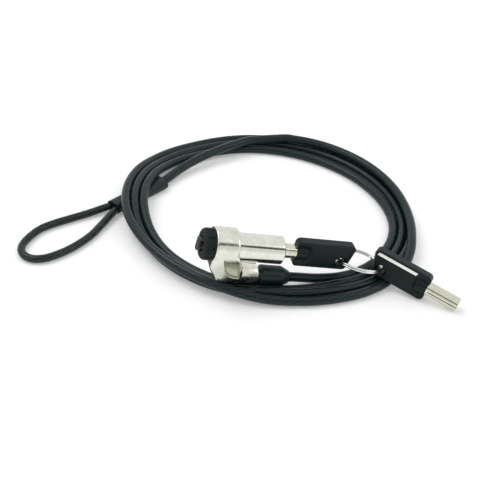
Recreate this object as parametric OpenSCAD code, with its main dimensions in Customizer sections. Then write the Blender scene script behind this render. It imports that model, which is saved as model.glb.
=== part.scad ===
// Laptop cable lock: a T-bar lock head with a tubular key in it, its steel cable laid up in a
// coil with a plain loop at the far end, and the second key hanging from a split ring.
// The lock head is drawn on its own axes: X runs along the barrel from the nose to the key,
// X = 0 is the back of the collar and Z is up. in_lock() then leans it on the coil.
// Everything is in millimetres, and the table is Z = 0.

/* [Lock head] */
// Outside diameter of the cast collar
collar_d = 17.8; // [16.8:0.1:20]
// Length of the collar along the barrel
collar_len = 11.8; // [10.5:0.1:14]
// Rounding of the collar's back edge
collar_round = 1.3; // [0.4:0.1:1.6]
// Distance from the barrel's axis down to the cable's axis
cable_drop = 15.7; // [15:0.1:18]
// Radius of the lug that carries the cable swivel
lug_r = 4.9; // [4.3:0.1:5.5]
// How far the foot of the lug's front edge stands behind the collar's front
lug_sweep = 7; // [4:0.1:7]
// How far the lug's back face stands behind the collar
lug_back = 5.5; // [4:0.1:7]
// Thickness left between the two side pockets of the lug
web_t = 6.8; // [6.4:0.1:8]
// Depth of the side pockets into the collar's skin
pocket_depth = 1.1; // [0.5:0.1:1.5]
// Length of the cast saddle that carries the barrel from below
saddle_len = 11.8; // [8:0.1:14]
// Thickness of the saddle
saddle_t = 1.3; // [1:0.1:1.6]
// Width of the saddle
saddle_w = 5; // [3:0.1:8]
// Diameter of the pin that holds the barrel in the collar
set_pin_d = 1.6; // [1:0.1:2.4]

/* [Barrel] */
// Outside diameter of the barrel
barrel_d = 13.8; // [13:0.1:14.4]
// Length of the barrel behind the collar
barrel_len = 23.4; // [20:0.1:30]
// Wall of the barrel
barrel_wall = 1.1; // [0.8:0.1:1.4]
// Length of the ring that closes the barrel's back end
end_ring_len = 2; // [1.5:0.1:3]
// Thickness of the steel plate in the collar's front
plate_t = 2; // [1.5:0.1:3]
// Diameter of the plate's nose
nose_d = 7.4; // [7.2:0.1:8.4]

/* [Rubber bumper] */
// Diameter of the bumper
bumper_d = 15.6; // [14:0.1:16.6]
// Length of the bumper in front of the collar
bumper_len = 5.4; // [3.5:0.1:6]
// Number of scallops round the bumper's edge
bumper_scallops = 10; // [6:1:14]
// Radius of a scallop
scallop_r = 1.1; // [0.6:0.1:1.4]
// How far the nose lies back from the bumper's front
nose_inset = 1.5; // [0.5:0.1:2.5]

/* [T-bar] */
// Length of the T-bar's head, made for a 7 by 3 mm slot
tbar_len = 6.8; // [6:0.1:7]
// Width of the T-bar's head
tbar_w = 2.8; // [2.6:0.1:3]
// Thickness of the T-bar's head
tbar_t = 1.5; // [1:0.1:2]
// Clear length of neck between the bumper and the T-bar's head
tbar_reach = 0.6; // [0.4:0.1:2]
// Diameter of the T-bar's neck
neck_d = 2.4; // [2:0.1:2.8]
// Diameter of the spindle behind the plate
spindle_d = 4; // [3.4:0.1:4.2]
// Diameter of the two guide pins beside the neck
guide_pin_d = 1.8; // [1.4:0.1:2]
// Thickness of the clip on the spindle
clip_t = 0.8; // [0.6:0.1:1]

/* [Lock works] */
// Number of pins round the keyway
pin_count = 7; // [5:1:8]
// Diameter of a pin
pin_d = 1; // [0.8:0.05:1.1]
// Length of a key pin before the key's cut is added
key_pin_len = 6; // [5:0.1:7]
// Length of a driver pin
driver_pin_len = 2.4; // [2:0.1:3]
// Length of a pin spring
pin_spring_len = 4.2; // [3:0.1:4.6]
// Length of the fixed pin block
pin_block_len = 8.6; // [8:0.1:10]
// Depth of the key in the barrel
key_depth = 10; // [8:0.1:10.5]

/* [Keys] */
// Outside diameter of a key's tube
stem_d = 7.2; // [6.8:0.1:7.4]
// Bore of a key's tube
stem_bore = 4.6; // [4.4:0.1:5]
// Length of a key's tube outside its head
stem_len = 16.6; // [14:0.1:20]
// Width of the groove along the tube
stem_groove_w = 0.9; // [0.6:0.1:1.4]
// Length of a key's head along its long edge
head_len = 31.4; // [26:0.1:34]
// Width of a key's head
head_w = 14; // [12.5:0.1:16]
// Thickness of a key's head
head_t = 6; // [5:0.1:7]
// How much shorter the head's ring edge is than its long edge
head_slant = 2.9; // [0:0.1:4]
// Bevel along the head's edges
head_bevel = 0.8; // [0.4:0.1:1.2]
// Diameter of the ring's hole
ring_hole_d = 4.6; // [4:0.1:5]
// Distance from the head's free end to the ring's hole
ring_hole_x = 6.6; // [6:0.1:9]
// Distance from the head's middle down to the ring's hole
ring_hole_z = 2.8; // [1.5:0.1:3]
// Length of the metal strip on the head
strip_len = 22; // [14:0.1:23]
// Width of the metal strip
strip_w = 1.6; // [1:0.1:2.2]

/* [Key ring] */
// Outside diameter of the split ring
ring_d = 25; // [24:0.1:27]
// Thickness of the ring's wire
ring_wire_d = 1; // [0.8:0.05:1.2]

/* [Cable] */
// Diameter of the cable with its jacket
cable_d = 4.8; // [4:0.1:5.2]
// Diameter of the cable in the loop
loop_cable_d = 4; // [3.4:0.1:4.2]
// Diameter of the swivel's stud
stud_d = 4.4; // [3.6:0.1:4.6]
// Width of the ferrule across its flats
ferrule_w = 9.2; // [8:0.1:9.8]
// Distance from the collar's back to the ferrule's back end
ferrule_end = 15.5; // [14:0.1:18]
// Diameter of the strain relief
relief_d = 10.4; // [9.6:0.1:11]
// Length of the strain relief
relief_len = 16; // [13:0.1:18]
// Length of the sleeve that closes the loop
sleeve_len = 36.6; // [30:0.1:40]
// Width of the sleeve
sleeve_w = 9.4; // [8.8:0.1:11]
// Height of the sleeve
sleeve_h = 6; // [5.4:0.1:6.6]

/* [Hidden] */
$fn = 48;

// Clearances
run_gap = 0.05;
press_gap = 0.02;
end_gap = 0.1;
lay_gap = 0.3;
past = 1;

// Where things lie: the middle of the coil, and from there the lock head and the second key
coil_pos = [-10.08, 70.08, 0];
lock_pos = [-34.9, -61, 26.4];
lock_turn = [0, 10.5, 0];
key2_slope = 12;
key2_turn = [-8.5, key2_slope, -39.7];

// Stations and radii of the lock head
collar_r = collar_d / 2;
barrel_r = barrel_d / 2;
barrel_bore_r = barrel_r - barrel_wall;
end_ring_r = barrel_r - barrel_wall / 2;
front_x = -collar_len;
front_round = 0.6;
bumper_x = front_x - bumper_len;
bumper_round = 2.1;
nose_x = bumper_x + nose_inset;
tbar_back_x = bumper_x - tbar_reach;
plate_back_x = front_x + plate_t;
end_ring_x = barrel_len - end_ring_len;
barrel_bevel = 0.4;
pin_face_x = barrel_len - key_depth;
shear_x = pin_face_x - key_pin_len;
block_back_x = shear_x - run_gap;
block_front_x = block_back_x - pin_block_len;
neck_r = neck_d / 2;
spindle_r = spindle_d / 2;
guide_pin_off = neck_r + guide_pin_d / 2 + 0.25;
clip_r = spindle_r + 1.4;
clip_x = block_front_x - clip_t - end_gap;
clip_groove_r = spindle_r - 0.5;
tenon_r = 1.2;
tenon_len = 3;
stem_r = stem_d / 2;
post_r = stem_bore / 2 - end_gap;
post_back_x = barrel_len - 0.6;
keyway_r = stem_r + end_gap;
pin_ring_r = (stem_r + stem_bore / 2) / 2;
pin_r = pin_d / 2;
spring_wall = 0.18;
driver_front_x = block_back_x - driver_pin_len;
spring_front_x = driver_front_x - pin_spring_len;
cut_step = 0.3;
key_cuts = [for (i = [0:pin_count - 1]) 0.4 + cut_step * ((i * 3) % 5)];

// Lug, swivel and cable end
lug_neck_r = collar_r - 0.05;
lug_foot_z = -cable_drop - lug_r + 0.05;
pocket_front_x = -4.6;
pocket_back_x = lug_back - 2;
pocket_floor_z = -cable_drop + 1.4;
stud_r = stud_d / 2;
stud_in = 7;
stud_out = 4;
stud_clip_x = lug_back - 3.6;
stud_clip_t = 0.8;
stud_clip_r = stud_r + 0.5;
stud_groove_r = stud_r - 0.4;
ferrule_x = lug_back + end_gap;
ferrule_bevel = 0.9;
relief_r = relief_d / 2;
relief_start_r = ferrule_w / 2 - 0.6;
relief_neck_r = cable_d / 2 + 0.8;
relief_end = ferrule_end + relief_len;

// Keys
strip_x = 2;
strip_z = head_w / 2 - 1.7;
strip_slant = 0.6;
strip_t = 0.5;
strip_sunk = 0.35;
free_corner = 2.2;
stem_corner = 2.4;
stem_in = 6;
boss_r = stem_r + 0.5;
boss_len = stem_in + 1.4;
dish_r = 6;
dish_depth = 1.2;
dish_ball_r = (dish_r * dish_r + dish_depth * dish_depth) / (2 * dish_depth);
dish_x = head_len - 3.4;
mouth_r = ring_hole_d / 2 + 0.9;
mouth_depth = 1.3;
corner_reach = norm([ring_hole_x - head_slant - free_corner, head_w / 2 - ring_hole_z - free_corner]) + free_corner;
key1_x = pin_face_x + end_gap + stem_len + head_len;

// The second key stands on the table with its tube's tip, and its hole is a ring's reach away
// from the first key's hole
stem_bevel = 0.3;
key2_z = (head_len + stem_len - stem_bevel) * sin(key2_slope) + stem_r * cos(key2_slope);
ring_r = (ring_d - ring_wire_d) / 2;
ring_coil_off = ring_wire_d / 2 - 0.03;
ring_lean = 10;
hole_span = 1.9 * ring_r;
hole_turn = -9.7;
hole_in_key = [ring_hole_x, 0, -ring_hole_z];
hole1 = lock_pos + turned([key1_x - ring_hole_x, 0, -ring_hole_z], lock_turn);
hole2_z = key2_z + turned(hole_in_key, key2_turn)[2];
hole_reach = sqrt(hole_span * hole_span - (hole1[2] - hole2_z) * (hole1[2] - hole2_z));
hole2 = [hole1[0] + hole_reach * cos(hole_turn), hole1[1] + hole_reach * sin(hole_turn), hole2_z];
key2_pos = hole2 - turned(hole_in_key, key2_turn);

// How far the second key goes sideways and down, on its own axes, when the first is pulled out
key_travel = 7;
pull_aside = key_travel * turned([1, 0, 0], lock_turn) * turned([0, 1, 0], key2_turn);
pull_down = key_travel * abs(turned([1, 0, 0], lock_turn) * turned([0, 0, 1], key2_turn));

// The ring leans back and passes through both holes
ring_along = unit(hole2 - hole1);
ring_flat = unit(square_to([0, 1, 0], ring_along));
ring_across = cos(ring_lean) * ring_flat - sin(ring_lean) * cross(ring_along, ring_flat);
ring_up = cross(ring_along, ring_across);
ring_back = sqrt(ring_r * ring_r - hole_span * hole_span / 4);
ring_mid = (hole1 + hole2) / 2 + ring_back * ring_across;

// Coil: a flat ring of strands, and the stretches where strands lie on each other, on the
// sleeve or inside the ring. A stretch is [first angle, last angle, inner and outer radius, top].
strand_h = cable_d;
coil_out_r = 78.6;
coil_in_r = 63.6;
coil_in_pos = [-2.2, -2.3];
coil_round = 2;
stack_top = 8.2;
stack_out_r = coil_out_r - 0.4;
lead_angle = -78;
tail_angle = 75;
stretches = [[-14, tail_angle, 67.5, stack_out_r, stack_top],
             [149, 177, 65, 79.4, 10.8],
             [176.5, 221, 67, stack_out_r, stack_top],
             [lead_angle, -75, 60, 66.5, strand_h - 0.1],
             [-75.5, -67, 61.8, 66.5, strand_h - 0.1]];

// Sleeve of the loop, on the table below the coil's left side
sleeve_mid = [-68.5, 21.5, sleeve_h / 2];
sleeve_turn = 35.7;
sleeve_dir = [cos(sleeve_turn), sin(sleeve_turn), 0];
sleeve_side = [-sin(sleeve_turn), cos(sleeve_turn), 0];
sleeve_wall = 1;
crimp_len = sleeve_len - 10;

// Routes of the cable, from the middle of the coil
lead_start = lock_pos + turned([relief_end, 0, -cable_drop], lock_turn);
lead_dir = turned([1, 0, 0], lock_turn);
lead_stop = 62.3 * [cos(lead_angle), sin(lead_angle), 0] + [0, 0, 2.5];
lead_points = [lead_start, [-1.5, -61, 4.5], [3.5, -61, 3.6], [8.5, -61, 2.9], lead_stop];
tail_start = 70.6 * [cos(tail_angle), sin(tail_angle), 0] + [0, 0, 7.3];
tail_points = [tail_start, [11.6, 67.4, 7.4], [4.6, 64.8, 7.5], [-3, 60.9, 7.4], [-16, 55.3, 6.5],
               [-29, 49.7, 5.4], [-41, 42.4, 4.1], [-49, 36, 3.3],
               sleeve_mid + sleeve_dir * sleeve_len / 2];
loop_leg = sleeve_side * (loop_cable_d / 2 + 0.1);
loop_mouth = sleeve_mid - sleeve_dir * sleeve_len / 2;
loop_points = [loop_mouth + loop_leg, [-90, 10.4, 2.7], [-97.5, 7.6, 2.2], [-107.5, 3.8, 2.1],
               [-115.5, 0.6, 2.1], [-122.5, -3.3, 2.1], [-128, -9, 2.1], [-132, -15, 2.1],
               [-133.4, -20.6, 2.1], [-131.8, -25.4, 2.1], [-128, -28.2, 2.1],
               [-122.6, -28.4, 2.1], [-117, -26.4, 2.1], [-110.5, -22.8, 2.1],
               [-104, -17.8, 2.1], [-97.5, -11.5, 2.1], [-91.5, -3.6, 2.3], loop_mouth - loop_leg];

function unit(v) = v / norm(v);
function square_to(v, n) = v - (v * n) * n;
function turn_x(p, a) = [p[0], p[1] * cos(a) - p[2] * sin(a), p[1] * sin(a) + p[2] * cos(a)];
function turn_y(p, a) = [p[0] * cos(a) + p[2] * sin(a), p[1], p[2] * cos(a) - p[0] * sin(a)];
function turn_z(p, a) = [p[0] * cos(a) - p[1] * sin(a), p[0] * sin(a) + p[1] * cos(a), p[2]];
function turned(p, a) = turn_z(turn_y(turn_x(p, a[0]), a[1]), a[2]);

// Points of a closed outline whose corners are given as [x, y, radius]
arc_steps = 6;
function corner(a, b, c) =
    let (u = unit([a[0] - b[0], a[1] - b[1]]),
         v = unit([c[0] - b[0], c[1] - b[1]]),
         half = acos(u * v) / 2,
         mid = [b[0], b[1]] + unit(u + v) * b[2] / sin(half),
         s = [b[0], b[1]] + u * b[2] / tan(half) - mid,
         e = [b[0], b[1]] + v * b[2] / tan(half) - mid,
         first = atan2(s[1], s[0]),
         sweep = atan2(s[0] * e[1] - s[1] * e[0], s * e))
    [for (i = [0:arc_steps]) let (a = first + sweep * i / arc_steps) mid + b[2] * [cos(a), sin(a)]];
function outline(corners) = let (n = len(corners))
    [for (i = [0:n - 1]) let (b = corners[i])
        each b[2] == 0 ? [[b[0], b[1]]] : corner(corners[(i + n - 1) % n], b, corners[(i + 1) % n])];

// Direction of a route at each of its points, and the ring of points round it there
function heading(points, i, first, last) =
    i == 0 ? unit(first) : i == len(points) - 1 ? unit(last) : unit(points[i + 1] - points[i - 1]);
function ring_points(p, dir, r, sides) =
    let (side = unit(cross(dir, [0, 0, 1])), up = cross(side, dir))
    [for (j = [0:sides - 1]) let (a = 360 * (j + 0.5) / sides) p + r * (cos(a) * side + sin(a) * up)];

module tube(points, r, sides, first, last) {
    n = len(points);
    vertices = [for (i = [0:n - 1]) each ring_points(points[i], heading(points, i, first, last), r, sides)];
    walls = [for (i = [0:n - 2], j = [0:sides - 1]) let (a = i * sides, k = (j + 1) % sides)
        [a + j, a + k, a + sides + k, a + sides + j]];
    start_face = [for (j = [sides - 1:-1:0]) j];
    end_face = [for (j = [0:sides - 1]) (n - 1) * sides + j];
    polyhedron(points = vertices, faces = concat(walls, [start_face, end_face]));
}

// A round bar along X, a body turned about X from [radius, x] points, and the two extrusions
module bar(from, to, r) { translate([from, 0, 0]) rotate([0, 90, 0]) cylinder(r = r, h = to - from); }
module turned_body(profile) { rotate([0, 90, 0]) rotate_extrude() polygon(profile); }
module along_x(from, to) { translate([from, 0, 0]) rotate([90, 0, 90]) linear_extrude(to - from) children(); }
module along_y(from, to) { translate([0, to, 0]) rotate([90, 0, 0]) linear_extrude(to - from) children(); }

module on_table() { translate(coil_pos) children(); }
module at_lock() { translate(lock_pos) rotate(lock_turn) children(); }
module at_cable_axis() { at_lock() translate([0, 0, -cable_drop]) children(); }
module at_sleeve() { translate(sleeve_mid) rotate([0, 0, sleeve_turn]) children(); }
module in_lock() { on_table() at_lock() children(); }
module in_cable_axis() { on_table() at_cable_axis() children(); }
module in_key1() { in_lock() translate([key1_x, 0, 0]) rotate([0, 0, 180]) children(); }
module at_key2() { translate(key2_pos) rotate(key2_turn) children(); }
module in_key2() { on_table() at_key2() children(); }
module in_sleeve() { on_table() at_sleeve() children(); }

// Lock head

// The lug's circle, and its flanks up to the widest place of the collar
module lug_front() {
    flank = atan2(cable_drop, lug_neck_r) - acos(lug_r / norm([lug_neck_r, cable_drop]));
    translate([0, -cable_drop]) circle(r = lug_r);
    polygon([[lug_neck_r, 0], lug_r * [cos(flank), sin(flank)] - [0, cable_drop],
             lug_r * [-cos(flank), sin(flank)] - [0, cable_drop], [-lug_neck_r, 0]]);
}

module lug_side() {
    polygon(outline([[front_x + front_round, 0, 0], [-collar_round / 2, 0, 0],
                     [lug_back, -cable_drop + lug_r, 1.5], [lug_back, lug_foot_z, 0.8],
                     [front_x + lug_sweep, lug_foot_z, 3], [front_x + front_round, 1 - collar_r, 2]]));
}

module pocket_side() {
    polygon(outline([[pocket_front_x, -2.6, 1], [1, -2.6, 1], [pocket_back_x, -7.2, 1],
                     [pocket_back_x, pocket_floor_z, 0.8], [pocket_front_x + 1.8, pocket_floor_z, 1.6],
                     [pocket_front_x, pocket_floor_z + 4, 1.5]]));
}

module head_casting() {
    color("gainsboro") in_lock() difference() {
        union() {
            turned_body(outline([[0, front_x, 0], [collar_r, front_x, front_round],
                                 [collar_r, 0, collar_round], [0, 0, 0]]));
            intersection() {
                along_x(front_x + front_round, lug_back) lug_front();
                along_y(-collar_r, collar_r) lug_side();
            }
            intersection() {
                bar(-collar_round, saddle_len, barrel_r + saddle_t);
                translate([-collar_round, -saddle_w / 2, -collar_r])
                    cube([collar_round + saddle_len, saddle_w, collar_r]);
            }
        }
        bar(front_x - past, saddle_len + past, barrel_r + press_gap);
        for (side = [-1, 1]) difference() {
            translate([0, side * (web_t + collar_d) / 2, 0]) along_y(-collar_r, collar_r) pocket_side();
            bar(front_x, lug_back, collar_r - pocket_depth);
        }
        translate([0, 0, -cable_drop]) {
            bar(lug_back - stud_in - end_gap, lug_back + past, stud_r + run_gap);
            bar(stud_clip_x - end_gap, stud_clip_x + stud_clip_t + end_gap, stud_clip_r + end_gap);
        }
        set_pin(collar_r + past, press_gap);
    }
}

module set_pin(top, gap) {
    translate([front_x / 2, 0, 0]) rotate([-90, 0, 0]) translate([0, 0, barrel_bore_r])
        cylinder(d = set_pin_d + 2 * gap, h = top - barrel_bore_r);
}

module barrel_set_pin() { color("silver") in_lock() set_pin(collar_r - 0.2, 0); }

module barrel_sleeve() {
    color("gainsboro") in_lock() difference() {
        turned_body([[0, plate_back_x], [barrel_r, plate_back_x], [barrel_r, barrel_len - barrel_bevel],
                     [barrel_r - barrel_bevel, barrel_len], [0, barrel_len]]);
        bar(plate_back_x - past, barrel_len + past, barrel_bore_r);
        bar(end_ring_x, barrel_len + past, end_ring_r + press_gap);
        set_pin(collar_r, press_gap);
    }
}

module barrel_end_ring() {
    color("silver") in_lock() difference() {
        bar(end_ring_x, barrel_len, end_ring_r);
        bar(end_ring_x - past, barrel_len + past, stem_r + run_gap);
    }
}

module front_plate() {
    color("silver") in_lock() difference() {
        union() {
            bar(front_x, plate_back_x, barrel_r);
            bar(nose_x, front_x + plate_t / 2, nose_d / 2);
        }
        bar(nose_x - past, plate_back_x + past, neck_r + run_gap);
        guide_bars(nose_x - past, plate_back_x - end_gap, press_gap);
    }
}

module guide_bars(from, to, gap) {
    for (side = [-1, 1]) translate([0, 0, side * guide_pin_off]) bar(from, to, guide_pin_d / 2 + gap);
}

module guide_pins() { color("silver") in_lock() guide_bars(tbar_back_x + end_gap, plate_back_x - end_gap, 0); }

module rubber_bumper() {
    bumper_r = bumper_d / 2;
    color([0.06, 0.06, 0.06]) in_lock() difference() {
        turned_body(outline([[nose_d / 2 + press_gap, bumper_x, 0.6], [bumper_r, bumper_x, bumper_round],
                             [bumper_r, front_x, 0], [nose_d / 2 + press_gap, front_x, 0]]));
        for (i = [1:bumper_scallops]) rotate([360 * i / bumper_scallops, 0, 0])
            translate([0, 0, bumper_r + scallop_r / 2]) bar(bumper_x - past, front_x - past, scallop_r);
    }
}

// Lock works

module round_bars(from, to, r) {
    for (i = [0:pin_count - 1]) rotate([360 * i / pin_count, 0, 0]) translate([0, pin_ring_r, 0])
        bar(from, to, r);
}

module pin_block() {
    color("goldenrod") in_lock() difference() {
        bar(block_front_x, block_back_x, barrel_bore_r - press_gap);
        bar(block_front_x - past, block_back_x + past, spindle_r + run_gap);
        round_bars(spring_front_x, block_back_x + past, pin_r + run_gap);
    }
}

module driver_pins() { color("khaki") in_lock() round_bars(driver_front_x, block_back_x, pin_r); }

module pin_springs() {
    color("silver") in_lock() difference() {
        round_bars(spring_front_x, driver_front_x, pin_r);
        round_bars(spring_front_x - past, driver_front_x + past, pin_r - spring_wall);
    }
}

module tbar_spindle() {
    color("silver") in_lock() difference() {
        union() {
            intersection() {
                translate([tbar_back_x - tbar_t, -tbar_w / 2, -tbar_len / 2]) cube([tbar_t, tbar_w, tbar_len]);
                bar(tbar_back_x - tbar_t - past, tbar_back_x + past, tbar_len / 2);
            }
            bar(tbar_back_x - tbar_t / 2, plate_back_x + end_gap + tenon_len / 2, neck_r);
            bar(plate_back_x + end_gap, shear_x, spindle_r);
            bar(shear_x - tenon_len / 2, shear_x + tenon_len, tenon_r);
        }
        difference() {
            bar(clip_x, clip_x + clip_t, spindle_r + past);
            bar(clip_x - past, clip_x + clip_t + past, clip_groove_r);
        }
    }
}

module spindle_clip() { color("dimgray") in_lock() open_clip(clip_x, clip_t, clip_r, clip_groove_r + press_gap); }

module open_clip(x, t, r, bore_r) {
    difference() {
        bar(x, x + t, r);
        bar(x - past, x + t + past, bore_r);
        translate([x - past, -bore_r * 0.7, 0]) cube([t + 2 * past, bore_r * 1.4, r + past]);
    }
}

module drive_post() {
    color("silver") in_lock() difference() {
        bar(shear_x, post_back_x, post_r);
        bar(shear_x - past, shear_x + tenon_len + end_gap, tenon_r + press_gap);
    }
}

module plug() {
    color("goldenrod") in_lock() difference() {
        bar(shear_x, end_ring_x - end_gap, barrel_bore_r - run_gap);
        bar(shear_x - past, end_ring_x + past, post_r + press_gap);
        bar(pin_face_x, end_ring_x + past, keyway_r);
        round_bars(shear_x - past, pin_face_x + past, pin_r + run_gap);
    }
}

module key_pins() {
    color("khaki") in_lock() for (i = [0:pin_count - 1]) rotate([360 * i / pin_count, 0, 0])
        translate([0, pin_ring_r, 0]) bar(shear_x, pin_face_x + key_cuts[i], pin_r);
}

// Cable swivel, ferrule and strain relief, on the cable's axis

module swivel_stud() {
    color("silver") in_cable_axis() difference() {
        bar(lug_back - stud_in, ferrule_x + stud_out, stud_r);
        difference() {
            bar(stud_clip_x, stud_clip_x + stud_clip_t, stud_r + past);
            bar(stud_clip_x - past, stud_clip_x + stud_clip_t + past, stud_groove_r);
        }
    }
}

module swivel_clip() {
    color("dimgray") in_cable_axis() open_clip(stud_clip_x, stud_clip_t, stud_clip_r, stud_groove_r + press_gap);
}

module cable_ferrule() {
    color("gainsboro") in_cable_axis() difference() {
        intersection() {
            rotate([22.5, 0, 0]) bar(ferrule_x, ferrule_end, ferrule_w / 2 / cos(22.5), $fn = 8);
            turned_body([[0, ferrule_x], [ferrule_w / 2 - ferrule_bevel / 2, ferrule_x],
                         [ferrule_w / 2 + ferrule_bevel / 2, ferrule_x + ferrule_bevel],
                         [ferrule_w / 2 + ferrule_bevel / 2, ferrule_end - 2 * ferrule_bevel],
                         [relief_start_r, ferrule_end], [0, ferrule_end]]);
        }
        bar(ferrule_x - past, ferrule_x + stud_out + end_gap, stud_r + press_gap);
    }
}

module strain_relief() {
    color([0.08, 0.08, 0.09]) in_cable_axis()
        turned_body(outline([[0, ferrule_end, 0], [relief_start_r, ferrule_end, 0],
                             [relief_r, ferrule_end + 1.3, 1], [relief_r, relief_end - 4, 3],
                             [relief_neck_r, relief_end, 0], [0, relief_end, 0]]));
}

// Cable

module cable_lead() {
    color([0.09, 0.09, 0.1]) on_table()
        tube(lead_points, cable_d / 2, 10, lead_dir, [-sin(lead_angle), cos(lead_angle), 0]);
}

module cable_tail() {
    color([0.09, 0.09, 0.1]) on_table()
        tube(tail_points, cable_d / 2, 10, [-sin(tail_angle), cos(tail_angle), 0], -sleeve_dir);
}

module cable_loop() {
    color([0.09, 0.09, 0.1]) on_table() tube(loop_points, loop_cable_d / 2, 10, -sleeve_dir, sleeve_dir);
}

module stretch(from, to, in_r, out_r, floor, top) {
    rotate([0, 0, from]) rotate_extrude(angle = to - from)
        polygon(outline([[in_r, floor, 0], [out_r, floor, 0], [out_r, top, coil_round], [in_r, top, coil_round]]));
}

module cable_coil() {
    color([0.07, 0.07, 0.08]) on_table() difference() {
        union() {
            difference() {
                rotate_extrude() polygon(outline([[coil_in_r - 6, 0, 0], [coil_out_r, 0, coil_round],
                                                  [coil_out_r, strand_h, coil_round], [coil_in_r - 6, strand_h, 0]]));
                translate([coil_in_pos[0], coil_in_pos[1], -past]) cylinder(r = coil_in_r, h = strand_h + 2 * past);
            }
            for (s = stretches) stretch(s[0], s[1], s[2], s[3], s[4] > strand_h ? strand_h / 2 : 0, s[4]);
        }
        at_sleeve() along_x(-sleeve_len / 2 - past, sleeve_len / 2 + past) {
            flat_oval(sleeve_w, sleeve_h, lay_gap);
            translate([-sleeve_w / 2 - lay_gap, -sleeve_h]) square([sleeve_w + 2 * lay_gap, sleeve_h]);
        }
        at_cable_axis() bar(ferrule_x - past, relief_end, relief_r + lay_gap);
        at_key2() translate([-past, -head_t / 2 - lay_gap, -head_w / 2 - lay_gap - pull_down])
            cube([head_len, head_t + 2 * lay_gap + pull_aside, head_w]);
        at_key2() translate(hole_in_key) rotate([90, 0, 0])
            cylinder(r = corner_reach + lay_gap, h = head_t + 2 * lay_gap, center = true);
    }
}

module flat_oval(w, h, gap) {
    for (side = [-1, 1]) translate([side * (w - h) / 2, 0]) circle(d = h + 2 * gap);
    square([w - h, h + 2 * gap], center = true);
}

module loop_sleeve() {
    color([0.08, 0.08, 0.08]) in_sleeve() difference() {
        along_x(-sleeve_len / 2, sleeve_len / 2) flat_oval(sleeve_w, sleeve_h, 0);
        along_x(-crimp_len / 2, crimp_len / 2) flat_oval(sleeve_w - 2 * sleeve_wall, sleeve_h - 2 * sleeve_wall, 0);
    }
}

module loop_crimp() {
    color("silver") in_sleeve()
        along_x(end_gap - crimp_len / 2, crimp_len / 2 - end_gap)
            flat_oval(sleeve_w - 2 * sleeve_wall, sleeve_h - 2 * sleeve_wall, -press_gap);
}

// Keys: X runs from the head's free end to the stem's tip, and the strip is on the -Y face

module head_outline() {
    polygon(outline([[0, head_w / 2, free_corner], [head_len, head_w / 2, stem_corner],
                     [head_len, -head_w / 2, stem_corner], [head_slant, -head_w / 2, free_corner]]));
}

module strip_outline(gap) {
    offset(delta = gap) polygon([[strip_x, strip_z - strip_w / 2], [strip_x + strip_slant, strip_z + strip_w / 2],
        [strip_x + strip_len, strip_z + strip_w / 2], [strip_x + strip_len - strip_slant, strip_z - strip_w / 2]]);
}

module key_head() {
    difference() {
        union() {
            difference() {
                hull() {
                    along_y(head_bevel - head_t / 2, head_t / 2 - head_bevel) head_outline();
                    along_y(-head_t / 2, head_t / 2) offset(delta = -head_bevel) head_outline();
                }
                for (side = [-1, 1])
                    translate([dish_x, side * (head_t / 2 - dish_depth + dish_ball_r), 0]) sphere(r = dish_ball_r);
            }
            turned_body(outline([[0, head_len - boss_len, 0], [boss_r, head_len - boss_len, 2.4],
                                 [boss_r, head_len - 0.4, 0.4], [0, head_len - 0.4, 0]]));
        }
        bar(head_len - stem_in, head_len + past, stem_r + press_gap);
        translate([ring_hole_x, 0, -ring_hole_z]) rotate([90, 0, 0]) {
            cylinder(d = ring_hole_d, h = head_t + 2 * past, center = true);
            for (side = [-1, 1]) translate([0, 0, side * (head_t / 2 - mouth_depth)]) rotate([side < 0 ? 180 : 0, 0, 0])
                cylinder(r1 = ring_hole_d / 2, r2 = mouth_r, h = mouth_depth + 0.001);
        }
        along_y(-head_t / 2 - past, strip_sunk - head_t / 2) strip_outline(press_gap);
    }
}

module key_strip() { along_y(strip_sunk - strip_t - head_t / 2, strip_sunk - head_t / 2) strip_outline(0); }

module key_stem() {
    tip = head_len + stem_len;
    difference() {
        turned_body([[0, head_len - stem_in], [stem_r, head_len - stem_in], [stem_r, tip - stem_bevel],
                     [stem_r - stem_bevel, tip], [0, tip]]);
        bar(head_len, tip + past, stem_bore / 2);
        translate([head_len + 0.5, -stem_r - past, -stem_groove_w / 2]) cube([stem_len, past + 0.5, stem_groove_w]);
        for (i = [0:pin_count - 1]) rotate([180 - 360 * i / pin_count, 0, 0]) translate([0, pin_ring_r, 0])
            bar(tip - key_cuts[i], tip + past, pin_r + run_gap);
    }
}

module key1_head() { color([0.07, 0.07, 0.08]) in_key1() key_head(); }
module key1_stem() { color("gainsboro") in_key1() key_stem(); }
module key1_strip() { color("white") in_key1() key_strip(); }
module key2_head() { color([0.07, 0.07, 0.08]) in_key2() key_head(); }
module key2_stem() { color("gainsboro") in_key2() key_stem(); }
module key2_strip() { color("white") in_key2() key_strip(); }

module key_ring() {
    color("silver") on_table() multmatrix([[ring_along[0], ring_across[0], ring_up[0], ring_mid[0]],
                                           [ring_along[1], ring_across[1], ring_up[1], ring_mid[1]],
                                           [ring_along[2], ring_across[2], ring_up[2], ring_mid[2]]])
        for (side = [-1, 1]) rotate_extrude() translate([ring_r, side * ring_coil_off]) circle(d = ring_wire_d);
}

head_casting();
barrel_sleeve();
barrel_end_ring();
barrel_set_pin();
front_plate();
guide_pins();
rubber_bumper();
pin_block();
driver_pins();
pin_springs();
tbar_spindle();
spindle_clip();
drive_post();
plug();
key_pins();
swivel_stud();
swivel_clip();
cable_ferrule();
strain_relief();
cable_lead();
cable_coil();
cable_tail();
cable_loop();
loop_sleeve();
loop_crimp();
key1_stem();
key1_head();
key1_strip();
key_ring();
key2_stem();
key2_head();
key2_strip();
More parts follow.
